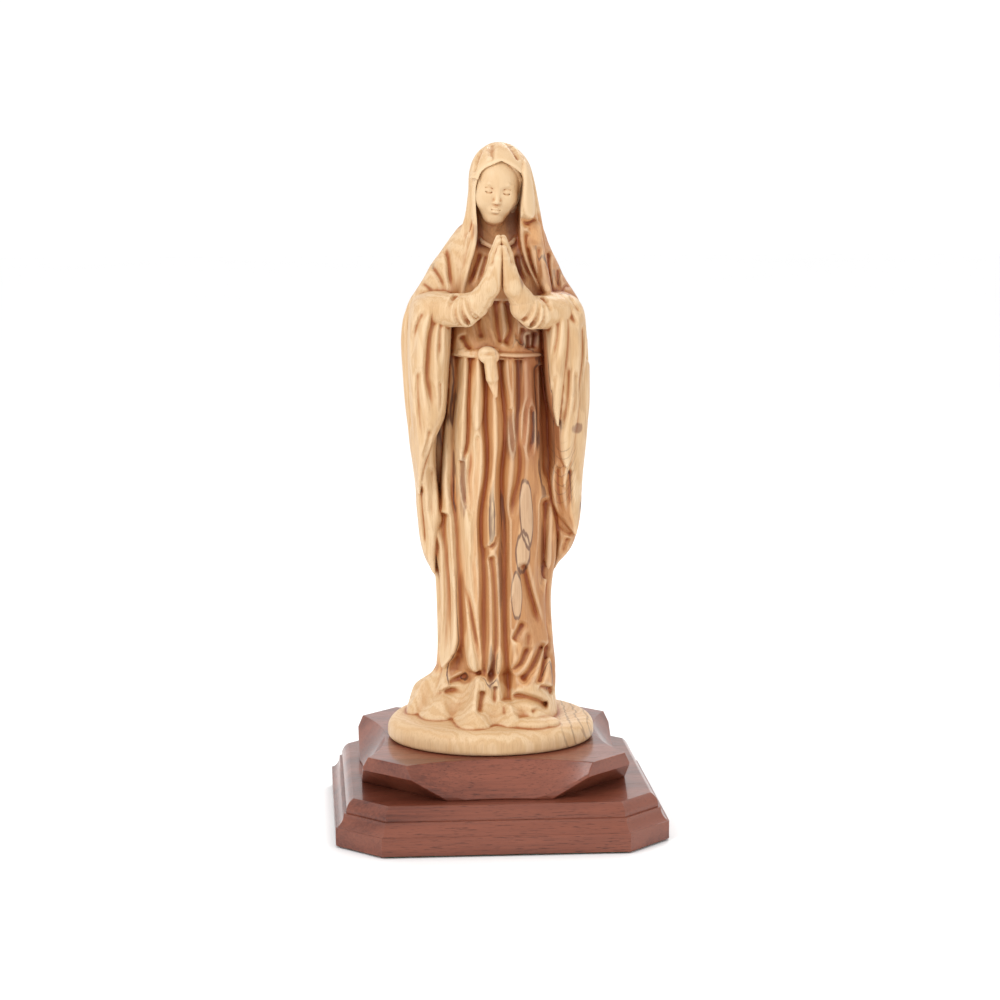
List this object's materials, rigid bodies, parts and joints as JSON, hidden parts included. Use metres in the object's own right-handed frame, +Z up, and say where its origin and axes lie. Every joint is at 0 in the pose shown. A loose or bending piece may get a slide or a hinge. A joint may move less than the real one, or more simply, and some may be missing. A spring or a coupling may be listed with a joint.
{
  "type": "madonna statue",
  "caption": "Carved olive-wood figure of a praying madonna in a veil and mantle, standing on an oval foot on a stepped dark wooden plinth.",
  "frame": {"origin": "centre of the felt's underside, on the surface that the statue stands on", "axes": "+Z up through the figure's head; the figure faces -Y; its right hand is on the -X side"},
  "size_m": [0.125, 0.125, 0.26],
  "materials": {
    "olive_wood": "satin",
    "mahogany": "gloss",
    "felt": "matte",
    "zinc_steel": "satin",
    "brass": "satin"
  },
  "bodies": {
    "root": {"figure_carving": "olive_wood", "upper_plinth": "mahogany", "lower_plinth": "mahogany", "felt_sheet": "felt", "figure_screw_left": "zinc_steel", "figure_screw_right": "zinc_steel", "plinth_screw_front_left": "brass", "plinth_screw_front_right": "brass", "plinth_screw_back_left": "brass", "plinth_screw_back_right": "brass"}
  },
  "joints": []
}
